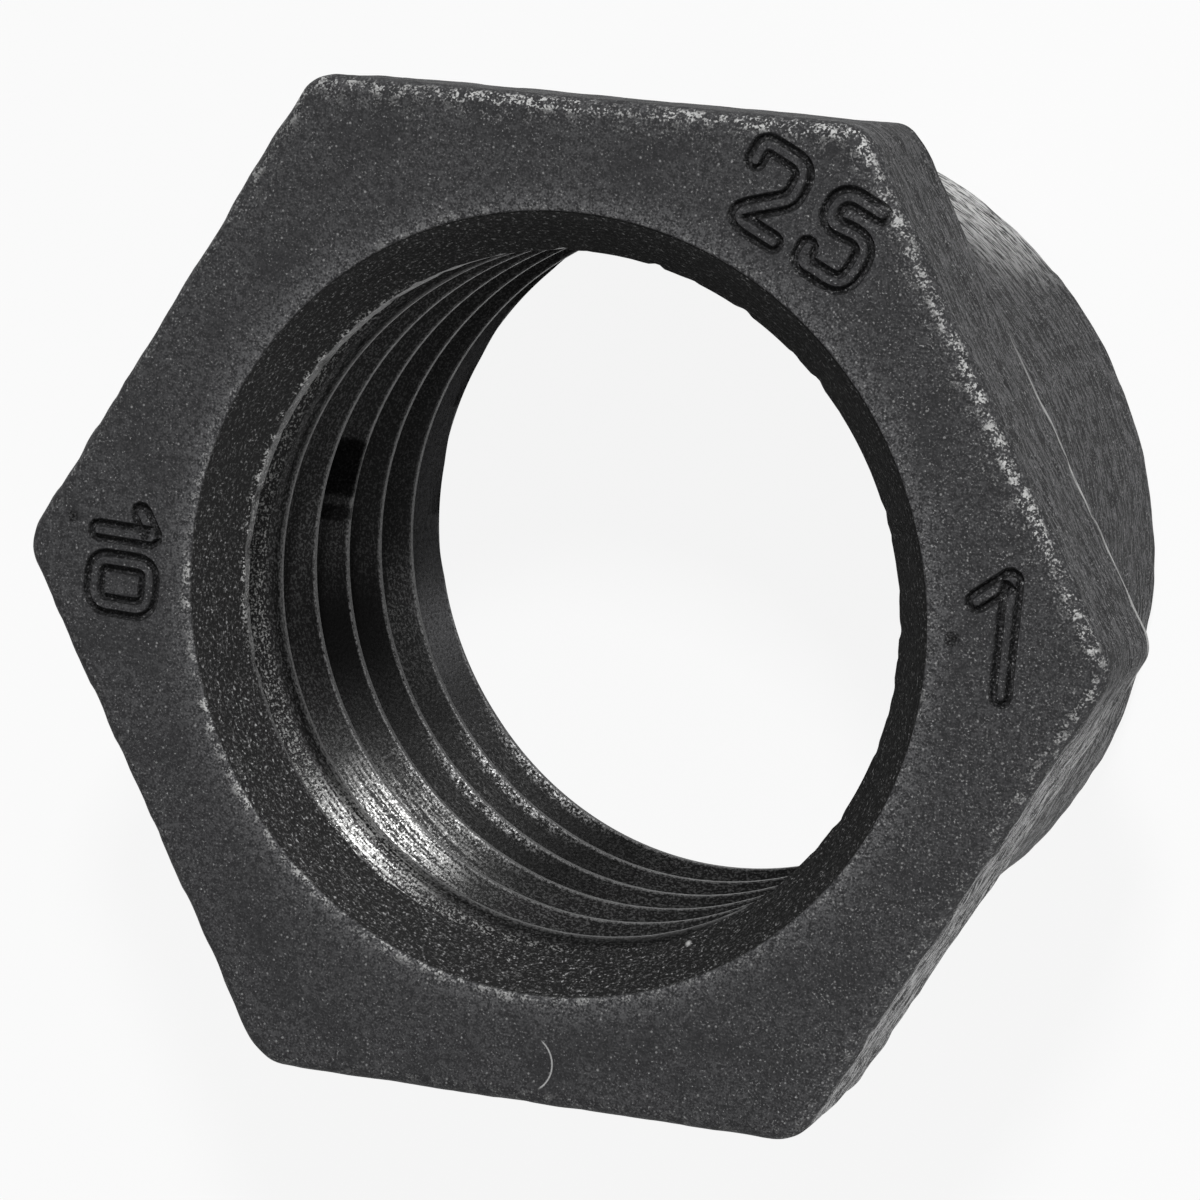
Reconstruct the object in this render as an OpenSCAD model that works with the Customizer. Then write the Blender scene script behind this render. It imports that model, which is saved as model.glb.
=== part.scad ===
// A short hexagon-headed coupling with a threaded through bore.
// It stands on the plain end of its barrel, with the hexagon on top.
// Origin: centre of the plain end. +Z runs up the bore, out of the hexagon's face.
// Two of the hexagon's corners lie on the X axis.

/* [Hexagon] */
// Width across the flats, measured at the face
hex_af = 45.2; // [42:0.2:56]
// Thickness of the hexagon, from its face to its back
hex_t = 8.5; // [6:0.1:14]
// Angle at which the flats lean in towards the hexagon's back
draft = 4.2; // [0:0.2:6]
// Radius that rounds the edge of the hexagon's face
face_edge_r = 0.7; // [0.4:0.1:1.2]
// How far the six sharp corners are turned down
corner_cut = 0.35; // [0.1:0.05:1.5]

/* [Barrel] */
// Length of the whole coupling along its bore
overall_l = 26.5; // [20:0.5:50]
// Step from a flat of the hexagon down to the barrel, at the hexagon's back
barrel_step = 1.25; // [0.6:0.05:2.5]
// Radius of the fillet where the barrel meets the hexagon
neck_r = 1.1; // [0.4:0.1:2]
// Wall between the chamfered mouth and the barrel's outside at the plain end
end_wall = 2.45; // [1.6:0.05:4]
// Radius that rounds the outer edge of the plain end
end_edge_r = 0.9; // [0.4:0.1:1.4]

/* [Bore] */
// Diameter of the bore over the crests of its thread
crest_d = 31.2; // [26:0.2:34]
// Depth of the thread below its crests, to which both mouths are opened
thread_depth = 1.85; // [1:0.05:2.2]
// Depth of the chamfer at each mouth, along the bore
mouth_h = 1.9; // [1:0.1:3]

/* [Hidden] */
$fn = 96;

apothem = hex_af / 2;
back_apothem = apothem - hex_t * tan(draft);
corner_r = apothem / cos(30) - corner_cut;
corner_lean = atan(tan(draft) / cos(30));
barrel_h = overall_l - hex_t;
crest_r = crest_d / 2;
mouth_r = crest_r + thread_depth;

// The barrel's wall leans out from the plain end to the hexagon
barrel_end_r = mouth_r + end_wall;
barrel_root_r = back_apothem - barrel_step;
lean = atan2(barrel_root_r - barrel_end_r, barrel_h);
outward = [cos(lean), -sin(lean)];

// The neck's fillet ends inside the flats
fillet_r = min(neck_r, barrel_step * 0.9);

// A cut or a buried part runs this far past the face that it starts from
past = 1;

// A fillet runs out this far inside the faces that it joins
run_out = 0.002;

// Radius of the barrel's wall at a height above the plain end
function wall_x(z) = barrel_end_r + z * tan(lean);

// Half of the hexagon's section, from its middle out to a leaning side and a rounded face edge
module slab_section(half_w, side_lean) {
    edge = [
        half_w - face_edge_r * (tan(side_lean) + 1 / cos(side_lean)),
        hex_t - face_edge_r
    ];
    translate(edge)
        circle(face_edge_r);
    polygon([
        [0, 0],
        [half_w - hex_t * tan(side_lean), 0],
        edge + face_edge_r * [cos(side_lean), -sin(side_lean)],
        [edge[0], hex_t],
        [0, hex_t]
    ]);
}

// A long bar between two opposite flats, with both edges of its face rounded
module flat_bar() {
    rotate([90, 0, 0])
        linear_extrude(2 * hex_af, center = true) {
            slab_section(apothem, draft);
            mirror([1, 0])
                slab_section(apothem, draft);
        }
}

// The hexagon: where three such bars cross, with its corners turned down
module hexagon() {
    intersection() {
        rotate(30)
            flat_bar();
        rotate(90)
            flat_bar();
        rotate(150)
            flat_bar();
        rotate_extrude()
            slab_section(corner_r, corner_lean);
    }
}

// The barrel's section: a leaning wall with a rounded foot
module wall_section() {
    foot = [wall_x(end_edge_r) - end_edge_r / cos(lean), end_edge_r];
    translate(foot)
        circle(end_edge_r);
    polygon([
        [0, 0],
        [foot[0], 0],
        foot + outward * end_edge_r,
        [wall_x(barrel_h), barrel_h],
        [wall_x(barrel_h), barrel_h + past],
        [0, barrel_h + past]
    ]);
}

// The fillet's section, in the angle between the barrel's wall and the hexagon's back
module neck_section() {
    centre = [
        wall_x(barrel_h - fillet_r) + fillet_r / cos(lean),
        barrel_h - fillet_r
    ];
    difference() {
        polygon([
            centre - outward * (fillet_r + past),
            centre,
            [centre[0], barrel_h + past],
            [barrel_root_r - past, barrel_h + past]
        ]);
        translate(centre)
            circle(fillet_r + run_out);
    }
}

// The barrel, turned in one with its neck
module barrel() {
    rotate_extrude() {
        wall_section();
        neck_section();
    }
}

// The bore: straight over the crests, with an open cone at each mouth
module bore() {
    spread = thread_depth * past / mouth_h;
    rotate_extrude()
        polygon([
            [0, -past],
            [mouth_r + spread, -past],
            [crest_r, mouth_h],
            [crest_r, overall_l - mouth_h],
            [mouth_r + spread, overall_l + past],
            [0, overall_l + past]
        ]);
}

// The coupling is one piece of metal: hexagon and barrel, bored through
module coupling() {
    color("#3a3b3e")
        difference() {
            union() {
                translate([0, 0, barrel_h])
                    hexagon();
                barrel();
            }
            bore();
        }
}

coupling();
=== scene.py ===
# %% [markdown]
# # A black iron coupling
# The object is a short coupling for iron pipe: a hexagon for the spanner, a round barrel behind it,
# and a threaded bore right through both. The solid that was made in CAD is the frame of this scene.
# It is loaded first, and its sizes drive everything that follows.

# %% Load the frame
from math import atan2, cos, degrees, pi, radians, sin, tan

import bmesh
import bpy
import numpy as np
from mathutils import Matrix, Vector, noise


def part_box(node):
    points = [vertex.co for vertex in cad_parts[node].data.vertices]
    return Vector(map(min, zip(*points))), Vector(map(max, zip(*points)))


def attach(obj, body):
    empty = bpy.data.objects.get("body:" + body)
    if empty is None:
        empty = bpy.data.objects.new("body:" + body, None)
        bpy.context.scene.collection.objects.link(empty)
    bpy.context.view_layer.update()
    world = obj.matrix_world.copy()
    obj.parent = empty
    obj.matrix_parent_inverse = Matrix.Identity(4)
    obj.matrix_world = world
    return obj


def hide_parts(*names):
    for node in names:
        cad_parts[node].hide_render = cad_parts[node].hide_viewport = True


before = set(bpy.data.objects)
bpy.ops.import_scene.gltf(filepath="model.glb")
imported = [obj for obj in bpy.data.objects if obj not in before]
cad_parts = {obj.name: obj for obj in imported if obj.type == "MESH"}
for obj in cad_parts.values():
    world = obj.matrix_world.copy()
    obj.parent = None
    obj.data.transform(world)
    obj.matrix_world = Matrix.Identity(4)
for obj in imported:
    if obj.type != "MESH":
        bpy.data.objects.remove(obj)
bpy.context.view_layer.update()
low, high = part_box("coupling")
print("CAD box of the coupling, mm:", [round(1000 * v, 3) for v in (*low, *high)])

# %% [markdown]
# ## Sizes
# Blender works in metres, so a size in millimetres is written as a number times MM. The overall
# sizes are read off the frame. The rest are the same numbers that the solid was drawn with.

# %% Sizes of the coupling
MM = 0.001
length = high.z
apothem = high.y
corner_reach = high.x
hexagon_t = 8.5 * MM
draft = radians(4.2)
face_edge_r = 0.7 * MM
back_edge_r = 0.25 * MM
barrel_step = 1.25 * MM
neck_r = 1.1 * MM
end_wall = 2.45 * MM
end_edge_r = 0.9 * MM
crest_r = 15.6 * MM
mouth_r = 17.45 * MM
mouth_h = 1.9 * MM
rim_r = 0.16 * MM

barrel_h = length - hexagon_t
barrel_end_r = mouth_r + end_wall
barrel_root_r = apothem - hexagon_t * tan(draft) - barrel_step
lean = atan2(barrel_root_r - barrel_end_r, barrel_h)
print("barrel leans by", round(degrees(lean), 2), "degrees")

# %% [markdown]
# ## The thread
# A pipe thread is a ridge that winds round the bore. Seen in section it is a row of teeth with
# flanks at 30 degrees to the plane across the axis, a narrow flat on each crest and another at each
# root. It could be a helix swept along a curve and joined to a tube, but that leaves messy seams.
# Here the wall's radius is a formula of the angle round the bore and the depth below the face, so
# the thread is part of the wall itself. Its last turn before the mouth is only half cut: the corner
# of the crest is bevelled there, and the groove narrows until it closes.

# %% The thread as a formula
thread_pitch = 3.767 * MM
crest_flat = 0.28 * MM
flank_slope = tan(radians(30))
first_crest = 6.037 * MM
first_crest_at = 180.0
bevel_r = 0.32 * MM
bevel_l = 0.52 * MM
bevel_from, bevel_full = 95.0, 135.0
close_from, close_end = 300.0, 430.0


def smooth(start, end, value):
    """0 before start, 1 after end, and an even rise between them."""
    t = np.clip((value - start) / (end - start), 0, 1)
    return t * t * (3 - 2 * t)


def crest_depth(turn):
    """Depth of the crest below the face, where turn is the angle along the helix in degrees."""
    return first_crest - thread_pitch * (turn - first_crest_at) / 360


def groove_edges(turn):
    """Left and right edge of the groove before that crest, and the size of the crest's bevel."""
    right = crest_depth(turn) - crest_flat / 2
    left = right - thread_pitch + crest_flat
    closed = smooth(close_from, close_end, turn)
    left = left + (right - left) * closed
    return left, right, smooth(bevel_from, bevel_full, turn) * (1 - closed)


def groove_radius(depth, turn):
    """Radius of the bore's wall in one groove of the thread."""
    left, right, bevel = groove_edges(turn)
    rise = np.minimum(depth - left, right - bevel * bevel_l - depth) / flank_slope
    facet = (right - depth) * bevel_r / bevel_l
    cut = np.minimum(rise + np.where(depth > (left + right) / 2, bevel * bevel_r, 0), mouth_r - crest_r)
    near_crest = (depth > right - bevel * bevel_l) & (depth <= right)
    cut = np.where(near_crest, np.minimum(facet, bevel_r), cut)
    return crest_r + np.clip(cut, 0, mouth_r - crest_r)


print("threads per inch:", round(25.4 * MM / thread_pitch, 2))

# %% [markdown]
# ## The hexagon's outline
# Everything on this part is either round or a hexagon. Both are walked with the same number of
# columns, so that a row on the hexagon can be joined to a row on the bore without a gap. More
# columns stand on the turned-down corners, where the outline bends, than on the flats.

# %% Columns round the part
CORNER_STEPS = 12
FLAT_STEPS = 60
corner_r = (apothem / cos(radians(30)) - corner_reach) / (1 / cos(radians(30)) - 1)


def hexagon_outline():
    """Points of the outline and the way each of them faces, from just before the corner on +X."""
    reach = (apothem - corner_r) / cos(radians(30))
    points = []
    facing = []
    for side in range(6):
        start = np.array([cos(radians(60 * side)), sin(radians(60 * side))]) * reach
        end = np.array([cos(radians(60 * side + 60)), sin(radians(60 * side + 60))]) * reach
        for step in range(CORNER_STEPS):
            angle = radians(60 * side - 30 + 60 * step / CORNER_STEPS)
            way = np.array([cos(angle), sin(angle)])
            points.append(start + corner_r * way)
            facing.append(way)
        way = np.array([cos(radians(60 * side + 30)), sin(radians(60 * side + 30))])
        for step in range(FLAT_STEPS):
            points.append(start + (end - start) * step / FLAT_STEPS + corner_r * way)
            facing.append(way)
    return np.array(points), np.array(facing)


outline, facing = hexagon_outline()
COLUMNS = len(outline)
column_deg = np.degrees(np.unwrap(np.arctan2(outline[:, 1], outline[:, 0])))
column_way = np.c_[np.cos(np.radians(column_deg)), np.sin(np.radians(column_deg))]
print("columns:", COLUMNS, " corner radius, mm:", round(corner_r / MM, 3))

# %% [markdown]
# ## Rows of the outer skin
# The skin is described by rows, each one a closed loop of points. They start at the mouth on the
# face, run out over the face, down the flats, in along the back, round the neck, down the barrel
# and back to the bore under the plain end. A forged skin is never quite flat, so each row carries
# a number that says how far the hammer marks may press it in.

# %% Helpers that add a row
FLAT_DENT = 0.14 * MM
BARREL_DENT = 0.10 * MM
rows = []


def add_row(xy, z, dent=0.0):
    """One closed loop of points at height z, which forging marks may press in by up to dent."""
    rows.append({"xy": xy, "z": np.full(COLUMNS, z), "dent": dent})


def round_row(radius, z, dent=0.0):
    add_row(column_way * radius, z, dent)


def hexagon_row(inset, z, dent=0.0):
    add_row(outline - facing * inset, z, dent)


def between_row(radius, inset, share, z, dent=0.0):
    """A row on the way from a circle to the hexagon."""
    add_row(column_way * radius * (1 - share) + (outline - facing * inset) * share, z, dent)


print("forging marks at most, mm:", FLAT_DENT / MM, "on the flats and", BARREL_DENT / MM, "on the barrel")

# %% [markdown]
# The mouth's rim is broken by a small round, the face is flat, and its outer edge is rounded.

# %% Rim, face and its edge
for angle in (90, 60, 30, 0):
    a = radians(angle)
    round_row(mouth_r + rim_r * (1 - sin(a)), length - rim_r * (1 - cos(a)))
edge_inset = face_edge_r * (tan(draft) + 1 / cos(draft))
for share in (0.06, 0.2, 0.36, 0.52, 0.68, 0.84, 0.97):
    between_row(mouth_r + rim_r, edge_inset, share, length)
for angle in np.linspace(90, -degrees(draft), 7):
    a = radians(angle)
    z = length - face_edge_r * (1 - sin(a))
    hexagon_row(edge_inset - face_edge_r * cos(a), z, FLAT_DENT * cos(a))
print("rows as far as the flats:", len(rows))

# %% [markdown]
# The flats lean in towards the back, because a forging has to come out of its die. The back edge is
# much sharper than the face's edge: it was the die's parting line, and was trimmed.

# %% Flats and the hexagon's back edge
flat_top = rows[-1]["z"][0]
back_inset = (hexagon_t - back_edge_r) * tan(draft) + back_edge_r / cos(draft)
flat_foot = barrel_h + back_edge_r * (1 - sin(draft))
for share in np.linspace(0.04, 0.96, 14):
    z = flat_top + (flat_foot - flat_top) * share
    hexagon_row((length - z) * tan(draft), z, FLAT_DENT)
for angle in np.linspace(-degrees(draft), -90, 4):
    a = radians(angle)
    z = barrel_h + back_edge_r * (1 + sin(a))
    hexagon_row(back_inset - back_edge_r * cos(a), z, FLAT_DENT * cos(a))
print("rows as far as the back:", len(rows))

# %% [markdown]
# The back runs in to the neck, whose fillet turns down into the leaning barrel. The barrel's foot is
# rounded, and the plain end closes the skin with a rim like the one on the face.

# %% Back, neck, barrel and plain end
neck_x = barrel_end_r + (barrel_h - neck_r) * tan(lean) + neck_r / cos(lean)
for share in (0.9, 0.6, 0.3, 0.08):
    between_row(neck_x, back_inset, share, barrel_h)
for angle in np.linspace(90, 180 - degrees(lean), 7):
    a = radians(angle)
    round_row(neck_x + neck_r * cos(a), barrel_h - neck_r + neck_r * sin(a), BARREL_DENT)
wall_top = rows[-1]["z"][0]
foot_x = barrel_end_r + end_edge_r * tan(lean) - end_edge_r / cos(lean)
wall_foot = end_edge_r - end_edge_r * sin(lean)
for share in np.linspace(0.03, 0.97, 18):
    z = wall_top + (wall_foot - wall_top) * share
    round_row(barrel_end_r + z * tan(lean), z, BARREL_DENT)
for angle in np.linspace(-degrees(lean), -90, 6):
    a = radians(angle)
    round_row(foot_x + end_edge_r * cos(a), end_edge_r + end_edge_r * sin(a), BARREL_DENT * cos(a))
for share in (0.1, 0.5, 0.9):
    round_row(foot_x + (mouth_r + rim_r - foot_x) * share, 0)
for angle in (0, 30, 60, 90):
    a = radians(angle)
    round_row(mouth_r + rim_r * (1 - sin(a)), rim_r * (1 - cos(a)))
print("rows of the outer skin:", len(rows))

# %% [markdown]
# Forging scale leaves shallow hollows about 2 to 3 mm wide. Each point moves inward only, so the
# part never grows past the solid that it stands for. The noise has no random seed: it is a fixed
# function of the place in millimetres, and gives the same skin every time. The two flats across the
# Y axis came smoother out of the die.

# %% Press the forging marks into the skin
HOLLOW = 2.4 * MM
SMOOTHER = 0.6


def hollow(x, y, z, size=HOLLOW):
    """From 0 to 1: how deep the forging hollows are at a place."""
    wide = noise.noise(Vector((x, y, z)) / size)
    fine = noise.noise(Vector((y, z, x)) / (size / 2.7) + Vector((7, 3, 5)))
    return float(smooth(-0.22, 0.16, wide)) * 0.6 + min(0.4, max(0.0, 0.2 + 0.45 * fine))


def skin_points(row):
    """The row's points in space, after the marks."""
    points = np.c_[row["xy"], row["z"]]
    if row["dent"] == 0:
        return points
    for i, (x, y, z) in enumerate(points):
        smoother = 1 - SMOOTHER * abs(facing[i][1]) ** 6
        points[i, :2] -= facing[i] * row["dent"] * smoother * hollow(x, y, z)
    return points


skin = [skin_points(row) for row in rows]
print("points on the skin:", sum(len(points) for points in skin))

# %% [markdown]
# ## Rows of the bore
# The rows in the thread run with the helix: each follows one edge of a groove round the bore and
# sinks by one pitch per turn. Near the mouths they would leave the wall, so they are held at the
# edge of the chamfer, and rows that fall together there become one.

# %% Rows of the bore
FLANK_STEPS = (0.0, 0.07, 0.36, 0.66, 0.94)
thread_start = mouth_h
thread_end = length - mouth_h
first_groove = -1
last_groove = int((thread_end - crest_depth(column_deg[-1])) / thread_pitch) + 1


def groove_rows(turn):
    """Depths of the rows across one groove, from the crest before it to the edge of its own crest."""
    left, right, bevel = groove_edges(turn)
    root_cut = mouth_r - crest_r
    corner = right - bevel * bevel_l
    half = (corner - left) / 2
    run = np.minimum(root_cut * flank_slope, half)
    run_right = np.minimum((root_cut - bevel * bevel_r) * flank_slope, half)
    depths = [left - crest_flat / 2]
    depths += [left + run * share for share in FLANK_STEPS]
    depths += [left + run, (left + run + corner - run_right) / 2, corner - run_right]
    depths += [corner - run_right * share for share in reversed(FLANK_STEPS)]
    depths.append(right)
    return depths


def wall_radius(depth, deg):
    """The bore's radius under the face: the thread, or the chamfer where that is wider."""
    radius = np.full(np.shape(depth), crest_r)
    for k in range(first_groove - 1, last_groove + 1):
        radius = np.maximum(radius, groove_radius(depth, deg - 360 * k))
    from_end = np.minimum(depth, length - depth)
    chamfer = mouth_r - (mouth_r - crest_r) * from_end / mouth_h
    return np.maximum(np.where(depth < thread_start, crest_r, radius), chamfer)


bore_depths = []
for share in (0.07, 0.3, 0.55, 0.8, 0.95):
    bore_depths.append(np.full(COLUMNS, rim_r + (mouth_h - rim_r) * share))
bore_depths.append(np.full(COLUMNS, thread_start))
thread_rows_from = len(bore_depths)
for k in range(first_groove, last_groove + 1):
    for depths in groove_rows(column_deg - 360 * k):
        bore_depths.append(np.clip(depths, thread_start, thread_end))
thread_rows_end = len(bore_depths)
rows_per_groove = len(groove_rows(column_deg))
for share in np.linspace(0, 0.93, 13):
    bore_depths.append(np.full(COLUMNS, thread_end + (mouth_h - rim_r) * share))
print("rows of the bore:", len(bore_depths), " rows per groove:", rows_per_groove)

# %% [markdown]
# A cutter tears small nicks out of the first crests, which show on the edge of the opening. They
# only take metal away, so the bore still clears.

# %% Nicks in the crests
NICK = 0.11 * MM
NICK_LONG = 0.9 * MM
NICKS_TO = 5.5 * MM


def nick(depth, deg):
    """From 0 to 1: how much of a crest has been torn away at a place."""
    along = radians(deg) * crest_r / NICK_LONG
    return min(1.0, max(0.0, 2.2 * noise.noise(Vector((along, depth / NICK_LONG, 3.0))) - 0.15))


def crest_nicks(depth, radius):
    """How much wider the bore is at each point of a row, where it runs over a crest."""
    near_crest = 1 - smooth(crest_r, crest_r + 0.3 * MM, radius)
    near_crest = near_crest * (1 - smooth(0.6 * NICKS_TO, NICKS_TO, depth))
    torn = np.array([nick(d, deg) for d, deg in zip(depth, column_deg)])
    return NICK * near_crest * torn

# %% [markdown]
# ## One closed mesh
# The rows are stitched into faces. Where two rows share a point, its corner is left out of the
# face, so no face has a side of no length. At the column where the loop closes, the thread has
# sunk by one pitch, and each of its rows is joined to the same row of the groove before.

# %% Number the points
SAME = 0.001 * MM
vertices = []


def store(points):
    """Adds points to the mesh and returns their numbers."""
    start = len(vertices)
    vertices.extend([tuple(p) for p in points])
    return np.arange(start, start + len(points))


skin_ids = [store(points) for points in skin]
bore_ids = []
for n, depth in enumerate(bore_depths):
    radius = wall_radius(depth, column_deg)
    radius = radius + crest_nicks(depth, radius)
    points = np.c_[column_way * radius[:, None], length - depth]
    ids = store(points)
    if n:
        together = np.abs(depth - bore_depths[n - 1]) < SAME
        ids = np.where(together, bore_ids[-1], ids)
    bore_ids.append(ids)
print("points in all:", len(vertices))

# %% [markdown]
# A face joins two neighbours on one row to the two across from them on the next.

# %% Stitch the rows
faces = []


def stitch(first, second, first_end, second_end):
    """Faces between two rows; the last two numbers close the loop after the last column."""
    for i in range(COLUMNS):
        j = i + 1
        far_a = first[j] if j < COLUMNS else first_end
        far_b = second[j] if j < COLUMNS else second_end
        loop = []
        for v in (first[i], second[i], far_b, far_a):
            if int(v) not in loop:
                loop.append(int(v))
        if len(loop) > 2:
            faces.append(loop)


def closing_row(n):
    """The row of the first column that row n of the thread meets after a full turn."""
    if not thread_rows_from <= n < thread_rows_end:
        return n
    return max(thread_rows_from - 1, n - rows_per_groove)


for a, b in zip(skin_ids, skin_ids[1:]):
    stitch(a, b, a[0], b[0])
stitch(bore_ids[0], skin_ids[0], bore_ids[0][0], skin_ids[0][0])
for n in range(len(bore_ids) - 1):
    a, b = bore_ids[n], bore_ids[n + 1]
    stitch(b, a, bore_ids[closing_row(n + 1)][0], bore_ids[closing_row(n)][0])
stitch(skin_ids[-1], bore_ids[-1], skin_ids[-1][0], bore_ids[-1][0])
print("faces stitched:", len(faces))

# %% [markdown]
# The faces become a mesh. Points that were shared away are dropped, every face is turned to look
# outward, and the print says whether the skin is closed.

# %% Make the body
mesh = bpy.data.meshes.new("coupling_body")
mesh.from_pydata(vertices, [], faces)
shape = bmesh.new()
shape.from_mesh(mesh)
loose = [v for v in shape.verts if not v.link_faces]
bmesh.ops.delete(shape, geom=loose, context="VERTS")
bmesh.ops.recalc_face_normals(shape, faces=shape.faces)
open_edges = [e for e in shape.edges if len(e.link_faces) != 2]
print("faces:", len(shape.faces), " open edges:", len(open_edges), " volume, mm3:",
      round(shape.calc_volume() / MM**3, 1))
shape.to_mesh(mesh)
shape.free()
body = bpy.data.objects.new("coupling_body", mesh)
bpy.context.scene.collection.objects.link(body)

# %% [markdown]
# ## Stamped numerals
# The size is struck into the face with outline punches: each stroke of a numeral is a pair of fine
# grooves with a ridge left between them. A texture could paint them, but real grooves catch the
# light as the hexagon turns. Each stroke is a bent line with rounded corners. Its outline is one
# closed loop at half a stroke's width, and a wedge swept along that loop is cut out of the face.

# %% Shapes of the numerals
STROKE_HALF = 0.35 * MM
GROOVE_TOP = 0.44 * MM
GROOVE_FOOT = 0.16 * MM
GROOVE_DEPTH = 0.36 * MM
ABOVE_FACE = 0.1 * MM
BEND_STEPS = 8

# Each stroke: its corners in units of the numeral's height, how far each bend is rounded, and
# whether it closes on itself.
STROKES = {
    "0": [([(0.0, 0.5), (0.0, 1.0), (0.56, 1.0), (0.56, 0.0), (0.0, 0.0)], 0.27, True)],
    "1": [([(-0.03, 0.76), (0.26, 1.0), (0.26, 0.0)], 0.01, False)],
    "2": [([(0.0, 0.74), (0.0, 1.0), (0.56, 1.0), (0.56, 0.56), (0.0, 0.02), (0.6, 0.02)], 0.25, False)],
    "5": [([(0.54, 1.0), (0.06, 1.0), (0.03, 0.56), (0.6, 0.66), (0.56, 0.0), (0.0, 0.0), (0.0, 0.2)],
           0.25, False)],
}
print("numerals that can be struck:", ", ".join(STROKES))

# %% [markdown]
# A punch for a numeral has no sharp bends. Each corner of a stroke is cut across by a short arc, and
# points that fall too close together are dropped, so that the wedge never folds over itself.

# %% Lines with rounded bends
def rounded_line(corners, bend, closed):
    """A bent line with each bend cut across by an arc, as evenly placed points."""
    corners = [Vector(c) for c in corners]
    count = len(corners)
    points = []
    for i, here in enumerate(corners):
        if not closed and i in (0, count - 1):
            points.append(here)
            continue
        before = corners[i - 1] - here
        after = corners[(i + 1) % count] - here
        half = before.angle(after) / 2
        reach = min(bend / tan(half), before.length / 2, after.length / 2)
        start = here + before.normalized() * reach
        end = here + after.normalized() * reach
        for step in range(BEND_STEPS + 1):
            t = step / BEND_STEPS
            points.append(start * (1 - t) ** 2 + here * 2 * t * (1 - t) + end * t * t)
    return points


def without_repeats(points, least):
    """The points without those that are closer than least to the one before."""
    kept = [points[0]]
    for p in points[1:]:
        if (p - kept[-1]).length > least:
            kept.append(p)
    return kept


def sides(points, closed):
    """The way to the left of the line at each of its points."""
    ways = []
    count = len(points)
    for i in range(count):
        a = points[i - 1] if closed or i else points[i]
        b = points[(i + 1) % count] if closed or i < count - 1 else points[i]
        along = (b - a).normalized()
        ways.append(Vector((-along.y, along.x)))
    return ways


# %% [markdown]
# An open stroke, such as the one of a 1, gets one loop that turns round both of its ends. A closed
# stroke, such as a 0, gets two loops, one inside the other.

# %% Loops round a stroke
def round_end(end, way):
    """Points that turn round the end of a stroke, from its left side to its right."""
    points = []
    for angle in (-36, -72, -108, -144):
        spin = Matrix.Rotation(radians(angle), 2)
        points.append(end + (spin @ way) * STROKE_HALF)
    return points


def stroke_loops(points, closed):
    """The closed loops that run round a stroke at half its width."""
    ways = sides(points, closed)
    left = [p + w * STROKE_HALF for p, w in zip(points, ways)]
    right = [p - w * STROKE_HALF for p, w in zip(points, ways)]
    if closed:
        return [left, right]
    far_end = round_end(points[-1], ways[-1])
    near_end = round_end(points[0], -ways[0])
    return [left + far_end + right[::-1] + near_end]


# %% [markdown]
# A wedge is four points at each place of the loop: two wide apart above the face and two close
# together at the foot of the groove.

# %% A wedge swept along a loop
def wedge_loop(shape, points, z):
    """A wedge swept along a closed loop on the face: wide above the face, narrow at its foot."""
    spread = (GROOVE_TOP - GROOVE_FOOT) / 2 * ABOVE_FACE / GROOVE_DEPTH
    profile = [(GROOVE_TOP / 2 + spread, ABOVE_FACE), (GROOVE_FOOT / 2, -GROOVE_DEPTH),
               (-GROOVE_FOOT / 2, -GROOVE_DEPTH), (-GROOVE_TOP / 2 - spread, ABOVE_FACE)]
    rings = []
    for p, way in zip(points, sides(points, True)):
        ring = []
        for across, up in profile:
            ring.append(shape.verts.new((p.x + way.x * across, p.y + way.y * across, z + up)))
        rings.append(ring)
    count = len(rings)
    for i in range(count):
        a = rings[i]
        b = rings[(i + 1) % count]
        for j in range(4):
            k = (j + 1) % 4
            shape.faces.new((a[j], a[k], b[k], b[j]))


# %% [markdown]
# Three marks stand on the face, each turned to follow the hexagon. The cutters are joined into one
# object, and a Boolean modifier takes them out of the body.

# %% Strike the numerals
FACE_MARKS = [
    {"text": "1", "at": (20.3, 1.1), "height": 5.2, "turn": -2.0, "wide": 1.0},
    {"text": "25", "at": (10.7, 18.3), "height": 3.7, "turn": -26.0, "wide": 1.1},
    {"text": "10", "at": (-20.8, -0.2), "height": 2.7, "turn": -92.0, "wide": 1.35},
]
NUMERAL_GAP = 0.36
LEAST_STEP = 0.02 * MM


def numeral_width(character):
    """Width of a numeral in units of its height."""
    corners = STROKES[character][0][0]
    return max(c[0] for c in corners) - min(c[0] for c in corners)


def strike(shape, mark):
    """Adds the wedges of one mark, centred on its place and turned."""
    height = mark["height"] * MM
    widths = [numeral_width(c) for c in mark["text"]]
    pen = -(sum(widths) + NUMERAL_GAP * (len(widths) - 1)) / 2
    spin = Matrix.Rotation(radians(mark["turn"]), 2)
    place = Vector(mark["at"]) * MM
    for character, width in zip(mark["text"], widths):
        for corners, bend, closed in STROKES[character]:
            shift = pen - min(c[0] for c in corners)
            local = [((x + shift) * height * mark["wide"], (y - 0.5) * height) for x, y in corners]
            line = rounded_line(local, bend * height, closed)
            line = without_repeats([place + spin @ p for p in line], LEAST_STEP)
            for loop in stroke_loops(line, closed):
                wedge_loop(shape, without_repeats(loop, LEAST_STEP), length)
        pen += width + NUMERAL_GAP


# %% [markdown]
# The exact solver is the slow one, but it copes with wedges that cross each other. The result is
# smooth shaded, apart from edges that bend by more than about 30 degrees.

# %% Cut them out of the face
SHARP_FROM = radians(32)

shape = bmesh.new()
for mark in FACE_MARKS:
    strike(shape, mark)
bmesh.ops.recalc_face_normals(shape, faces=shape.faces)
cutter_mesh = bpy.data.meshes.new("numeral_punches")
shape.to_mesh(cutter_mesh)
shape.free()
cutter = bpy.data.objects.new("numeral_punches", cutter_mesh)
bpy.context.scene.collection.objects.link(cutter)

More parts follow.
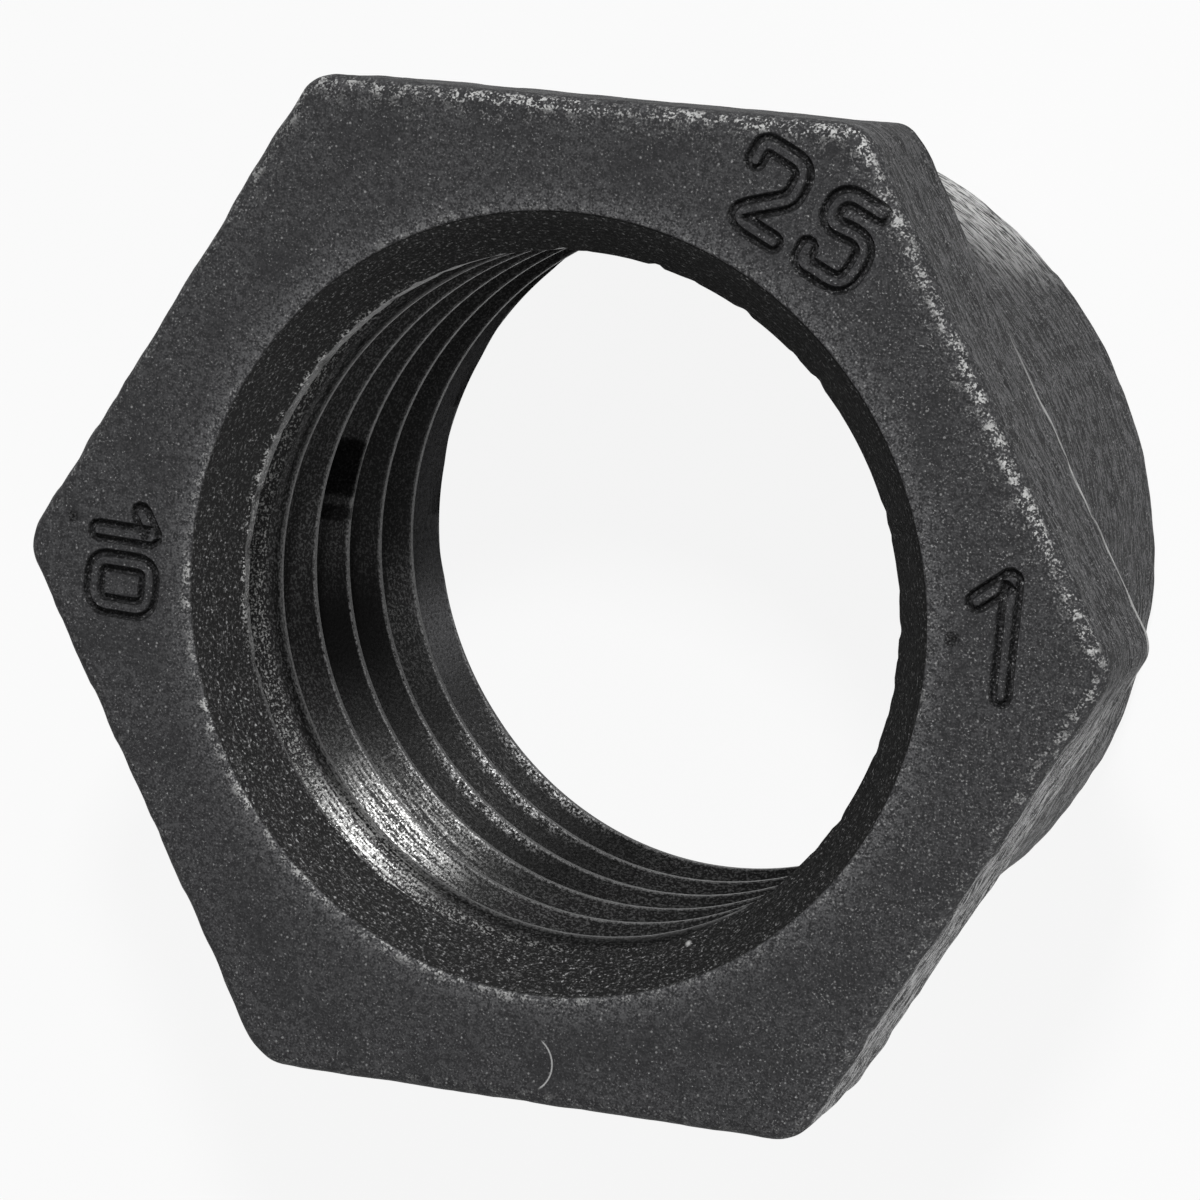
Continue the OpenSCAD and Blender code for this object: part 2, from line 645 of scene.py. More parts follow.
cut = body.modifiers.new("stamped", "BOOLEAN")
cut.operation = "DIFFERENCE"
cut.solver = "EXACT"
cut.use_self = True
cut.object = cutter
bpy.context.view_layer.update()
stamped = bpy.data.meshes.new_from_object(body.evaluated_get(bpy.context.evaluated_depsgraph_get()))
body.modifiers.clear()
body.data = stamped
bpy.data.objects.remove(cutter)
stamped.shade_smooth()
stamped.set_sharp_from_angle(angle=SHARP_FROM)
print("faces after stamping:", len(stamped.polygons))

# %% [markdown]
# ## Black iron
# The metal is malleable iron, forged and then blackened in hot oxide. The oxide is nearly black
# with a soft sheen. On the forged skin it is gritty, with fine light grains. Edges that rub are
# worn to bare grey metal, and in the bore the cutting tool has left a smoother wall with fine rings.
# A picture wrapped round the part could carry all this, but it would blur close up and would have
# to be unwrapped. Here every mark is worked out from its place on the part, in metres.

# %% Linear colour
def srgb(code):
    """An sRGB hex colour as linear red, green, blue and alpha."""
    values = []
    for i in (1, 3, 5):
        v = int(code[i:i + 2], 16) / 255
        values.append(v / 12.92 if v <= 0.04045 else ((v + 0.055) / 1.055) ** 2.4)
    return (*values, 1.0)


print("a middle grey, linear:", round(srgb("#808080")[0], 3))

# %% [markdown]
# A material is a tree of nodes. To add one by hand takes four or five lines each time, so one small
# function adds a node of any kind, links it and returns the output that is needed next. Two kinds
# are needed all the time, products and soft steps, and they have short names of their own.

# %% A function that adds one node
STEP = {"interpolation_type": "SMOOTHSTEP"}


def node(kind, inputs=(), out=0, **settings):
    """Adds one node to the tree in hand and returns one of its outputs. A list fills its inputs in
    order, and a dictionary fills them by name or number. Sockets are linked and values are set."""
    made = tree.nodes.new("ShaderNode" + kind)
    for name, value in settings.items():
        setattr(made, name, value)
    pairs = inputs.items() if isinstance(inputs, dict) else enumerate(inputs)
    for name, value in pairs:
        if isinstance(value, bpy.types.NodeSocket):
            tree.links.new(value, made.inputs[name])
        else:
            made.inputs[name].default_value = value
    return made.outputs[out]


def times(first, *others):
    """The product of two or more values."""
    for value in others:
        first = node("Math", [first, value], operation="MULTIPLY")
    return first


def ramp(value, start, end):
    """0 before start and 1 past end, with a soft rise between them."""
    return node("MapRange", [value, start, end], **STEP)


def new_tree(owner):
    """An empty node tree for a material or a world."""
    owner.use_nodes = True
    owner.node_tree.nodes.clear()
    return owner.node_tree


COLOUR_OUT = 2

# %% [markdown]
# The first part of the material only measures. It works out how far a point is from the axis, from
# the nearest flat and from the face, and where it lies along the helix. Every mask comes from those.

# %% Measure the place
iron = bpy.data.materials.new("black_oxide_iron")
tree = new_tree(iron)
place = node("TexCoord", out="Object")
x = node("SeparateXYZ", [place], out=0)
y = node("SeparateXYZ", [place], out=1)
z = node("SeparateXYZ", [place], out=2)
flat_place = node("CombineXYZ", [x, y])
from_axis = node("VectorMath", [flat_place], out="Value", operation="LENGTH")
depth = node("Math", [length, z], operation="SUBTRACT")
widest = 0.0
for deg in (30, 90, 150):
    way = (cos(radians(deg)), sin(radians(deg)), 0)
    along = node("VectorMath", [place, way], out="Value", operation="DOT_PRODUCT")
    along = node("Math", [along], operation="ABSOLUTE")
    widest = node("Math", [widest, along], operation="MAXIMUM")
from_flat = node("Math", [apothem, widest], operation="SUBTRACT")
print("nodes that measure lengths:", len(tree.nodes))

# %% [markdown]
# Turns are counted from the side of the bore that faces the camera, where 0 is straight along -X and
# 0.25 a quarter of the way round. The helix is the depth of a point once its turn is taken off, so
# one crest of the thread has the same number all the way round.

# %% Turns, helix and the parts of the surface
back_x = times(x, -1.0)
back_y = times(y, -1.0)
turns = node("Math", [node("Math", [back_y, back_x], operation="ARCTAN2"), 2 * pi], operation="DIVIDE")
helix = node("Math", [turns, thread_pitch, depth], operation="MULTIPLY_ADD")

in_bore = ramp(from_axis, mouth_r + 0.08 * MM, mouth_r - 0.02 * MM)
past_chamfer = ramp(depth, mouth_h - 0.05 * MM, mouth_h + 0.1 * MM)
threaded = times(in_bore, past_chamfer)
on_chamfer = node("Math", [in_bore, threaded], operation="SUBTRACT")
outside = node("Math", [1.0, in_bore], operation="SUBTRACT")
on_flats = times(ramp(depth, 0.35 * MM, 0.9 * MM), outside)
print("nodes so far:", len(tree.nodes))

# %% [markdown]
# The forged skin is gritty at two sizes: fine grains, and shallow pits a few times as wide. Slow
# clouds over them keep any one stretch from looking like the next. Painted speckle would do from
# afar, but noise that is measured in millimetres keeps its size on every side of the part.

# %% Grit, pits and clouds
GRAIN = 0.11 * MM    # real grit is about half of this, and is drawn coarser so that it shows
PIT = 0.34 * MM
BLOTCH = 0.55 * MM
CLOUD = 2.6 * MM
SPECK = 0.30 * MM    # room for one bright speck

grain = node("TexNoise", {"Vector": place, "Scale": 1 / GRAIN, "Detail": 2.0, "Roughness": 0.6})
pitting = node("TexNoise", {"Vector": place, "Scale": 1 / PIT, "Detail": 3.0, "Roughness": 0.55})
cloud = node("TexNoise", {"Vector": place, "Scale": 1 / CLOUD, "Detail": 3.0, "Roughness": 0.6})
blotch = node("TexNoise", {"Vector": place, "Scale": 1 / BLOTCH, "Detail": 2.0, "Roughness": 0.65})
scale_mix = node("Mix", {0: 0.6, 2: pitting, 3: grain})

speck_far = node("TexVoronoi", {"Vector": place, "Scale": 1 / SPECK}, out="Distance")
speck_draw = node("TexVoronoi", {"Vector": place, "Scale": 1 / SPECK}, out="Color")
speck_draw = node("SeparateColor", [speck_draw])
print("grains across one flat:", round(2 * apothem * tan(radians(30)) / GRAIN))

# %% [markdown]
# The sides were squeezed by a die, which draws the scale out along it. The same noise does for this
# once its place is squashed: long round the part and thin down its height.

# %% Marks of the die
STREAK_LONG = 0.9 * MM
STREAK_THIN = 0.21 * MM    # drawn coarser than real, because the camera looks along these sides

squash = (1 / STREAK_LONG, 1 / STREAK_LONG, 1 / STREAK_THIN)
streak_place = node("Mapping", {"Vector": place, "Scale": squash})
streak = node("TexNoise", {"Vector": streak_place, "Scale": 1.0, "Detail": 3.0, "Roughness": 0.65})
die_mark = node("Mix", {0: 0.35, 2: streak, 3: grain})
print("a die mark is", round(STREAK_LONG / STREAK_THIN, 1), "times as long as it is thin")

# %% [markdown]
# Where a lathe has cut, the marks run round the bore. Noise in the part's own x, y and z would cross
# them, so its place is made of turns, depth and radius instead: fine rings for the tool's feed, and
# a short grain that is drawn out along the cut.

# %% Rings and grain of the lathe
TOOL_RING = 0.12 * MM      # a real feed is nearer 0.05 mm, too fine to show here
RING_BREAKS = 26.0
TURNED_GRAIN = 0.085 * MM
TURNED_LONG = 0.20 * MM

ring_across = node("Math", [helix, TOOL_RING], operation="DIVIDE")
ring_out = node("Math", [from_axis, TOOL_RING], operation="DIVIDE")
ring_along = times(turns, RING_BREAKS)
ring_place = node("CombineXYZ", [ring_across, ring_out, ring_along])
rings = node("TexNoise", {"Vector": ring_place, "Scale": 1.0, "Detail": 2.0, "Roughness": 0.5})

turned_along = times(turns, 2 * pi * mouth_r / TURNED_LONG)
turned_out = node("Math", [from_axis, TURNED_GRAIN], operation="DIVIDE")
turned_down = node("Math", [depth, TURNED_GRAIN], operation="DIVIDE")
turned_place = node("CombineXYZ", [turned_out, turned_down, turned_along])
turned = node("TexNoise", {"Vector": turned_place, "Scale": 1.0, "Detail": 2.0, "Roughness": 0.6})
turned_mix = node("Mix", {0: 0.45, 2: turned, 3: grain})
print("rings in one pitch of the thread:", round(thread_pitch / TOOL_RING))

# %% [markdown]
# Wear and a painted highlight share one mask: bright spots on the hexagon's face edge, on the side
# where the light falls, and on one stretch of the mouth's rim. The mask takes the distance from the
# edge, the side of the part and a slow cloud, and the grains decide which spots turn bare.

# %% Where the edges are rubbed and painted bright
spoke = node("VectorMath", [flat_place], operation="NORMALIZE")


def side_of(deg):
    """How far round the part a point faces one way: 1 straight that way, 0 across it, -1 behind."""
    way = (cos(radians(deg)), sin(radians(deg)), 0)
    return node("VectorMath", [spoke, way], out="Value", operation="DOT_PRODUCT")


edge_in = ramp(from_flat, 0.9 * MM, 0.55 * MM)
edge_out = ramp(from_flat, 0.12 * MM, 0.3 * MM)
edge_core = times(edge_in, edge_out)
edge_halo = node("MapRange", {0: from_flat, 1: 1.8 * MM, 2: 0.8 * MM, 4: 0.18}, **STEP)
edge_wear_and_highlight = node("Math", [edge_core, edge_halo], operation="MAXIMUM")
edge_side = node("MapRange", {0: side_of(62), 1: 0.05, 2: 0.8, 3: 0.12, 4: 1.0}, **STEP)
edge_wear_and_highlight = times(edge_wear_and_highlight, edge_side)
rim_near = ramp(from_axis, mouth_r + 0.6 * MM, mouth_r + 0.05 * MM)
rim_side = node("MapRange", {0: side_of(232), 1: 0.2, 2: 0.95, 3: 0.2, 4: 1.0}, **STEP)
rim_wear_and_highlight = times(rim_near, rim_side)
# worn spots, and a painted highlight on the lit side of the edge and the rim
wear_and_highlight = node("Math", [edge_wear_and_highlight, rim_wear_and_highlight], operation="MAXIMUM")
near_top = ramp(depth, 0.6 * MM, 0.3 * MM)
wear_and_highlight = times(wear_and_highlight, near_top)
patchy = node("MapRange", {0: cloud, 1: 0.34, 2: 0.62, 3: 0.35, 4: 1.0}, **STEP)
wear_and_highlight = times(wear_and_highlight, patchy)
print("nodes so far:", len(tree.nodes))

# %% [markdown]
# The hexagon's back edge gets a thin bright line on the side that the light catches: a painted highlight.

# %% The back edge
back_edge = ramp(depth, 7.95 * MM, 8.15 * MM)
past_back = ramp(depth, 8.55 * MM, 8.45 * MM)
back_edge = times(back_edge, past_back)
back_side = node("MapRange", {0: side_of(5), 1: 0.8, 2: 0.97, 3: 0.0, 4: 0.9}, **STEP)
back_edge = times(back_edge, back_side)
# painted highlight along the back edge
back_edge_highlight = times(ramp(streak, 0.30, 0.50), back_edge)
print("back edge of the hexagon at depth, mm:", round(hexagon_t / MM, 2))

# %% [markdown]
# A few marks belong to this one part: a black stain in the thread where oil has burnt in, two small
# pits and a scratch on the face, and a bright speck on the rim. Each is a window in the turns and
# the depth, or a short distance from a point.

# %% Windows and distances
def window(value, start, end, soft):
    """1 between start and end and 0 outside, with soft edges."""
    return times(ramp(value, start - soft, start + soft), ramp(value, end + soft, end - soft))


def near(point, radius):
    """1 within half the radius of a point, fading to 0 at the radius."""
    gap = node("VectorMath", {0: place, 1: Vector(point) * MM}, out="Value", operation="DISTANCE")
    return ramp(gap, radius, radius / 2)

# %% [markdown]
# The stain's edges wander with the pits, and its middle is thinned by the grain, because burnt oil
# soaks into scale. The scratch is a stretch of a circle, and the burr is a single bright point.

# %% Stain, pits and scratch
PIT_ONE = (18.63, 0.76, 26.5)
PIT_TWO = (-23.39, 1.49, 26.5)
BURR = (7.0, -14.6, 24.9)
SCRATCH_CENTRE = (0.07, -20.55, 26.5)
SCRATCH_R = 1.32 * MM
SCRATCH_HALF = 0.03 * MM

wander = node("Math", {0: pitting, 1: 0.006, 2: -0.003}, operation="MULTIPLY_ADD")
stain_turn = node("Math", [turns, wander], operation="ADD")
stain_depth = node("Math", {0: wander, 1: 60 * MM, 2: depth}, operation="MULTIPLY_ADD")
stain_long = window(stain_turn, -0.0443, -0.0171, 0.0016)
stain_short = window(stain_turn, -0.0129, -0.0057, 0.0012)
stain_short = times(stain_short, 0.8)
stain = node("Math", [stain_long, stain_short], operation="MAXIMUM")
stain = times(stain, window(stain_depth, 10.2 * MM, 13.75 * MM, 0.1 * MM), threaded)
stain_thin = node("MapRange", {0: grain, 1: 0.35, 2: 0.75, 3: 1.0, 4: 0.6})
stain = times(stain, stain_thin)

pits = node("Math", [near(PIT_ONE, 0.46 * MM), near(PIT_TWO, 0.36 * MM)], operation="MAXIMUM")
pits = times(pits, node("MapRange", [grain, 0.75, 0.35]))
burr = near(BURR, 0.30 * MM)
to_scratch = {0: place, 1: Vector(SCRATCH_CENTRE) * MM}
from_scratch = node("VectorMath", to_scratch, out="Value", operation="DISTANCE")
scratch = window(from_scratch, SCRATCH_R - SCRATCH_HALF, SCRATCH_R + SCRATCH_HALF, SCRATCH_HALF)
scratch = times(scratch, window(x, 0.85 * MM, 3.0 * MM, 0.1 * MM))
print("scratch radius, mm:", round(SCRATCH_R / MM, 2), " nodes so far:", len(tree.nodes))

# %% [markdown]
# ## Colours
# Hot oxide is a neutral near-black. Thin scale is paler than thick scale, and iron that is rubbed
# through it is a light grey with hardly any hue. The lathe's cut was blackened after it was made,
# so it is dark again. Near-black is also painted as shade, and pale greys as highlights.

# %% Colours of the oxide and the metal
OXIDE_DARK = "#272728"     # thick scale
OXIDE = "#404041"          # the usual skin
OXIDE_PALE = "#565657"     # thin scale round the mouth
DIE_BLACK = "#111112"      # between the marks of the die
DIE_GREY = "#4e4e4f"       # on the marks of the die
DIE_LIT_PALE = "#a2a2a2"       # the same, painted paler on the lit side
GRAIN_AND_GLINT_GREY = "#8a8a8a"    # single grains, and painted highlights on the thread's crests
WORN_AND_HIGHLIGHT_GREY = "#a0a09f"      # rubbed edges, and painted highlights on edges
BARE_AND_HIGHLIGHT = "#c4c4c3"           # bright metal, and the painted highlight on the barrel
CUT_BLACK = "#181818"      # the cut thread
CUT_GREY = "#3b3b3b"       # turned grain on it
CHAMFER_BLACK = "#161616"
CHAMFER_GREY = "#404040"
# real stains and pits, and painted shade in the neck, the numerals and the bore
STAIN_AND_SHADE_BLACK = "#060606"
RUB_GREY = "#6a6a69"       # grit in the half-cut groove
SHINE_GREY = "#8a8a89"     # painted highlight where the lamp shines in the thread
SHEEN_GREY = "#474748"     # soft sheen near the far mouth
print("iron reflects from", round(srgb(STAIN_AND_SHADE_BLACK)[0], 4), "to", round(srgb(BARE_AND_HIGHLIGHT)[0], 2))

# %% [markdown]
# Light grains stand on the oxide, and more of them gather on the edges that are worn and painted
# bright. So that mask doesn't paint a band: it lowers the limit above which a grain shows. The
# right-hand side of the face is a little grittier than the left.

# %% Grains, specks, and spots that are worn and painted bright
rough_side = ramp(x, 4 * MM, 20 * MM)
grain_limit = node("Math", [wear_and_highlight, -0.1, 0.64], operation="MULTIPLY_ADD")
grain_limit = node("Math", [rough_side, -0.03, grain_limit], operation="MULTIPLY_ADD")
over_limit = node("Math", [grain, grain_limit], operation="SUBTRACT")
light_grain = ramp(over_limit, -0.03, 0.13)
cluster = node("MapRange", {0: blotch, 1: 0.40, 2: 0.60, 3: 0.25, 4: 1.0}, **STEP)
light_grain = times(light_grain, cluster)

speck_limit = node("Math", [rough_side, -0.08, 0.88], operation="MULTIPLY_ADD")
speck_on = node("Math", [speck_draw, speck_limit], operation="GREATER_THAN")
speck_dot = ramp(speck_far, 0.26, 0.10)
speck = times(speck_dot, speck_on, 0.55)

mottle = node("Math", {0: grain, 1: 0.8, 2: blotch}, operation="MULTIPLY_ADD")
mottle = ramp(mottle, 0.90, 1.06)
bare_and_highlight = times(wear_and_highlight, mottle)

rim_halo = node("MapRange", {0: from_axis, 1: mouth_r + 1.8 * MM, 2: mouth_r, 4: 0.7}, **STEP)
scale_light = ramp(scale_mix, 0.40, 0.60)
rim_halo = times(rim_halo, scale_light)
print("nodes so far:", len(tree.nodes))

# %% [markdown]
# On the sides the die marks come in patches, and they are clearest on one side of the part. One
# flat, and the barrel below it, are painted paler where the light falls on them: painted light.

# %% Die marks on the sides
streaky = times(ramp(die_mark, 0.46, 0.57), on_flats)
clear_side = ramp(side_of(15), 0.3, 0.9)
die_patch = node("MapRange", {0: cloud, 1: 0.36, 2: 0.60, 3: 0.45, 4: 1.0}, **STEP)
die_patch = node("Math", [die_patch, clear_side], operation="MAXIMUM")
die_light = times(streaky, die_patch)

# painted light on the lit flat and on the barrel below it
lit_low_right = times(ramp(side_of(-36), 0.80, 0.93), streaky)
off_barrel = node("MapRange", {0: depth, 1: 8.3 * MM, 2: 8.7 * MM, 3: 1.0, 4: 0.35})
lit_low_right = times(lit_low_right, off_barrel, on_flats)
print("nodes so far:", len(tree.nodes))

# %% [markdown]
# Painted shade darkens the neck behind the hexagon and the foot of the struck numerals. The barrel
# has a painted highlight: a bright patch near its plain end.

# %% Neck, numerals and the barrel's patch
# painted shade in the neck
neck_shade = ramp(depth, 8.45 * MM, 8.6 * MM)
neck_fade = ramp(depth, 12.5 * MM, 9.5 * MM)
neck_shade = times(neck_shade, neck_fade, outside, 0.6)

# painted shade in the grooves of the numerals
numeral_shade = times(ramp(depth, 0.05 * MM, 0.14 * MM), node("MapRange", [depth, 0.7 * MM, 0.5 * MM]))
numeral_shade = times(numeral_shade, node("MapRange", [from_flat, 0.9 * MM, 1.1 * MM]))
from_rim = node("MapRange", [from_axis, mouth_r + 0.25 * MM, mouth_r + 0.4 * MM])
numeral_shade = times(numeral_shade, from_rim, node("MapRange", [grain, 0.75, 0.40]), 0.75)

# painted highlight on the barrel near its plain end
low_barrel = ramp(depth, 12 * MM, 25 * MM)
barrel_highlight = node("MapRange", {0: side_of(67), 1: 0.90, 2: 1.0, 4: 0.9}, **STEP)
barrel_highlight = times(barrel_highlight, low_barrel)
barrel_highlight_streak = ramp(streak, 0.38, 0.6)
barrel_highlight = times(barrel_highlight, barrel_highlight_streak, outside)
print("nodes so far:", len(tree.nodes))

# %% [markdown]
# The chamfer was cut last, in one short pass. It is dark, with a turned grain and bright grains that
# the tool tore up, and it is painted paler, with more of them, on the side where the light falls.

# %% The chamfer
turned_light = ramp(turned_mix, 0.48, 0.61)
torn_up = node("Math", [grain, turned], operation="ADD")
# painted light: paler on the side of the chamfer where the light falls
painted_lit_round = node("MapRange", {0: side_of(245), 1: 0.0, 2: 0.95, 3: 0.45, 4: 0.95}, **STEP)
chamfer_light = times(turned_light, painted_lit_round, on_chamfer)
chamfer_speck = times(ramp(torn_up, 1.18, 1.32), painted_lit_round, on_chamfer)
print("nodes so far:", len(tree.nodes))

# %% [markdown]
# The first groove of the thread is only half cut, and its wall is as gritty as the forging. At its
# start the lip between it and the chamfer has rubbed pale. Further round, a pale patch on the first
# turns is a painted highlight, where the lamp's own highlight falls.

# %% The first turns of the thread
cut_light = times(turned_light, threaded)
half_cut = times(ramp(helix, 5.35 * MM, 5.2 * MM), threaded)
half_cut_end = ramp(turns, -0.22, -0.14)
half_cut = times(half_cut, half_cut_end)
gritty_cut = ramp(torn_up, 1.00, 1.28)
groove_grit = times(gritty_cut, half_cut)

lip = times(window(depth, 1.75 * MM, 2.5 * MM, 0.12 * MM), in_bore, window(turns, -0.15, 0.03, 0.03))
lip = times(lip, mottle, ramp(grain, 0.42, 0.58), 0.8)

# painted highlight where the lamp shines on the first turns
painted_shine_round = window(turns, 0.122, 0.165, 0.028)
painted_shine_depth = node("MapRange", {0: depth, 1: 14 * MM, 2: 9.5 * MM, 3: 0.0, 4: 1.0}, **STEP)
painted_shine = times(painted_shine_round, painted_shine_depth, threaded)
painted_shine_grit = times(ramp(node("Math", [grain, rings], operation="ADD"), 0.90, 1.15), painted_shine)
print("nodes so far:", len(tree.nodes))

# %% [markdown]
# Deeper in, two turns and the deep wall on the lower side are painted near-black as shade, and the
# wall near the far mouth has a painted sheen. Each crest has a painted highlight, a thin pale line
# along it broken by the grain, and low in the bore small pale spots on the crests are painted glints.

# %% Deep in the thread
# painted shade: two middle turns, and the deep wall on the lower side
painted_shade_turns = times(window(helix, 8.8 * MM, 18.9 * MM, 2.6 * MM), threaded, window(turns, 0.012, 0.085, 0.03))
painted_shade_deep = times(ramp(depth, 11 * MM, 14 * MM), window(turns, 0.07, 0.22, 0.03), threaded, 0.75)
# painted sheen near the far mouth
far_sheen = times(ramp(helix, 20.6 * MM, 22.0 * MM), window(turns, -0.10, 0.10, 0.04))
sheen_grain = node("MapRange", {0: turned_mix, 1: 0.35, 2: 0.65, 3: 0.3, 4: 0.9})
far_sheen = times(far_sheen, sheen_grain, threaded)

# painted highlight along each crest
crest_highlight = node("MapRange", {0: from_axis, 1: crest_r + 0.09 * MM, 2: crest_r + 0.03 * MM, 4: 0.28})
crest_highlight = times(crest_highlight, threaded)
crest_break = node("MapRange", [turned_mix, 0.40, 0.56])
crest_highlight = times(crest_highlight, crest_break)
on_crest = ramp(from_axis, crest_r + 0.5 * MM, crest_r + 0.1 * MM)
# painted glints on the crests low in the bore
crest_glints = times(ramp(scale_mix, 0.47, 0.66), on_crest, window(turns, 0.115, 0.18, 0.02))
crest_glints = times(crest_glints, node("MapRange", [depth, 10 * MM, 13 * MM]), threaded, 0.6)
print("nodes so far:", len(tree.nodes))

# %% [markdown]
# The colours are laid over each other like coats of paint, from the oxide up to the scratches. Each
# coat is a colour and a mask that says how much of it shows.

# %% Layers of colour
layers = [
    (ramp(scale_mix, 0.40, 0.61), OXIDE),
    (node("MapRange", {0: cloud, 1: 0.45, 2: 0.70, 4: 0.6}, **STEP), OXIDE_DARK),
    (rim_halo, OXIDE_PALE),
    (times(on_flats, 0.85), DIE_BLACK),
    (die_light, DIE_GREY),
    (lit_low_right, DIE_LIT_PALE),
    (light_grain, GRAIN_AND_GLINT_GREY),
    (speck, GRAIN_AND_GLINT_GREY),
    (bare_and_highlight, WORN_AND_HIGHLIGHT_GREY),
    (neck_shade, STAIN_AND_SHADE_BLACK),
    (back_edge_highlight, WORN_AND_HIGHLIGHT_GREY),
    (numeral_shade, STAIN_AND_SHADE_BLACK),
    (barrel_highlight, BARE_AND_HIGHLIGHT),
    (on_chamfer, CHAMFER_BLACK),
    (chamfer_light, CHAMFER_GREY),
    (chamfer_speck, GRAIN_AND_GLINT_GREY),
    (threaded, CUT_BLACK),
    (cut_light, CUT_GREY),
    (painted_shade_turns, STAIN_AND_SHADE_BLACK),
    (far_sheen, SHEEN_GREY),
    (painted_shade_deep, STAIN_AND_SHADE_BLACK),
    (crest_highlight, GRAIN_AND_GLINT_GREY),
    (crest_glints, GRAIN_AND_GLINT_GREY),
    (lip, WORN_AND_HIGHLIGHT_GREY),
    (groove_grit, RUB_GREY),
    (painted_shine_grit, SHINE_GREY),
    (stain, STAIN_AND_SHADE_BLACK),
    (pits, STAIN_AND_SHADE_BLACK),
    (times(scratch, 0.55), BARE_AND_HIGHLIGHT),
    (burr, BARE_AND_HIGHLIGHT),
]
colour = srgb(OXIDE_DARK)
for share, code in layers:
    colour = node("Mix", {0: share, 6: colour, 7: srgb(code)}, out=COLOUR_OUT, data_type="RGBA")
print("coats of colour:", len(layers))

# %% [markdown]
# Oxide scale is a rough, poor conductor, so it is hardly metallic and its roughness is about a half.
# The cut thread keeps more of the iron's own shine: more metallic, and smoother along the cut. The
# IOR stays at its default. The specular level is low, because a matt black skin gives back far less
# than polished iron, and the room round it is white.

# %% Roughness and metal
OXIDE_ROUGH = 0.50
GRAIN_ROUGH = 0.14
CUT_SMOOTHEST = 0.28
CUT_ROUGHEST = 0.60
STAIN_ROUGH = 0.3
OXIDE_METAL = 0.08
CUT_METAL = 0.6
PATCH_METAL = 0.5
SPECULAR_LEVEL = 0.06

rough = node("Math", [grain, GRAIN_ROUGH, OXIDE_ROUGH], operation="MULTIPLY_ADD")
cut_rough = node("MapRange", {0: turned, 1: 0.35, 2: 0.65, 3: CUT_SMOOTHEST, 4: CUT_ROUGHEST})
rough = node("Mix", {0: threaded, 2: rough, 3: cut_rough})
rough = node("Math", [stain, STAIN_ROUGH, rough], operation="MULTIPLY_ADD")
metal = node("Math", [threaded, CUT_METAL, OXIDE_METAL], operation="MULTIPLY_ADD")
metal = node("Math", [barrel_highlight, PATCH_METAL, metal], operation="MULTIPLY_ADD")
print("roughness of the oxide:", OXIDE_ROUGH, "to", OXIDE_ROUGH + GRAIN_ROUGH)

# %% [markdown]
# Fine relief comes from a bump, because grit a tenth of a millimetre wide would take millions of
# faces. All the reliefs are heights in metres that are added up first, and one bump node turns
# their sum into a tilt of the surface. A chain of bumps looks the same and renders slower.

# %% Relief
GRIT_RELIEF = 0.034 * MM
STREAK_RELIEF = 0.14 * MM
TURNED_RELIEF = 0.05 * MM
CUT_RELIEF = 0.016 * MM
RING_RELIEF = 0.010 * MM

grit = node("Math", [grain, 0.6, pitting], operation="MULTIPLY_ADD")
grit = times(grit, outside)
outer_streak = times(die_mark, on_flats)
chamfer_grain = times(turned, on_chamfer)
cut_grain = node("Math", [half_cut, 0.5, threaded], operation="MULTIPLY_ADD")
cut_grain = times(turned, cut_grain)
bore_rings = times(rings, threaded)
height = times(grit, GRIT_RELIEF)
for share, relief_height in ((outer_streak, STREAK_RELIEF), (chamfer_grain, TURNED_RELIEF),
                             (cut_grain, CUT_RELIEF), (bore_rings, RING_RELIEF)):
    height = node("Math", [share, relief_height, height], operation="MULTIPLY_ADD")
relief = node("Bump", {"Distance": 1.0, "Height": height})
print("deepest grit, mm:", round(1.6 * GRIT_RELIEF / MM, 3))

# %% [markdown]
# All of it meets in one principled shader, and the piece is handed to the frame: it rides on the
# part's only body and stands for the CAD solid.

# %% The finished metal
surface = node("BsdfPrincipled", {"Base Color": colour, "Metallic": metal, "Roughness": rough,
                                  "Specular IOR Level": SPECULAR_LEVEL, "Normal": relief})
tree.links.new(surface, tree.nodes.new("ShaderNodeOutputMaterial").inputs["Surface"])
body.data.materials.clear()
body.data.materials.append(iron)
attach(body, "root")
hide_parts("coupling")
print("nodes in the metal:", len(tree.nodes))

# %% [markdown]
# ## Floor and light
# The coupling stands on a white table. For the camera, for reflections and through glass the table
# shows as plain white, and a part of it stays an ordinary surface, so that the shadow is kept.

# %% The table
TABLE_HALF = 1.2
KEPT_SHADOW = 0.10


def seen_plainly():
    """1 for a ray that comes from the camera, from a reflection or through glass."""
    seen = 0.0
    for ray in ("Is Camera Ray", "Is Glossy Ray", "Is Transmission Ray"):
        seen = node("Math", [seen, node("LightPath", out=ray)], operation="MAXIMUM")
    return seen


floor_mesh = bpy.data.meshes.new("table")
floor_mesh.from_pydata([(-TABLE_HALF, -TABLE_HALF, 0), (TABLE_HALF, -TABLE_HALF, 0),
                        (TABLE_HALF, TABLE_HALF, 0), (-TABLE_HALF, TABLE_HALF, 0)], [], [(0, 1, 2, 3)])
floor = bpy.data.objects.new("table", floor_mesh)
bpy.context.scene.collection.objects.link(floor)
white = bpy.data.materials.new("white_table")
tree = new_tree(white)
share = times(seen_plainly(), 1 - KEPT_SHADOW)
paint = node("BsdfDiffuse", {"Color": srgb("#bcbcbc")})
glow = node("Emission", {"Color": (1, 1, 1, 1), "Strength": 1.0})
surface = node("MixShader", [share, paint, glow])
tree.links.new(surface, tree.nodes.new("ShaderNodeOutputMaterial").inputs["Surface"])
floor_mesh.materials.append(white)
print("share of the table that shows plain white:", 1 - KEPT_SHADOW)

# %% [markdown]
# The room is white to the camera, in reflections and through glass. As a light it is only a soft
# grey, a little paler near the table, so that a colour renders about as it is written.

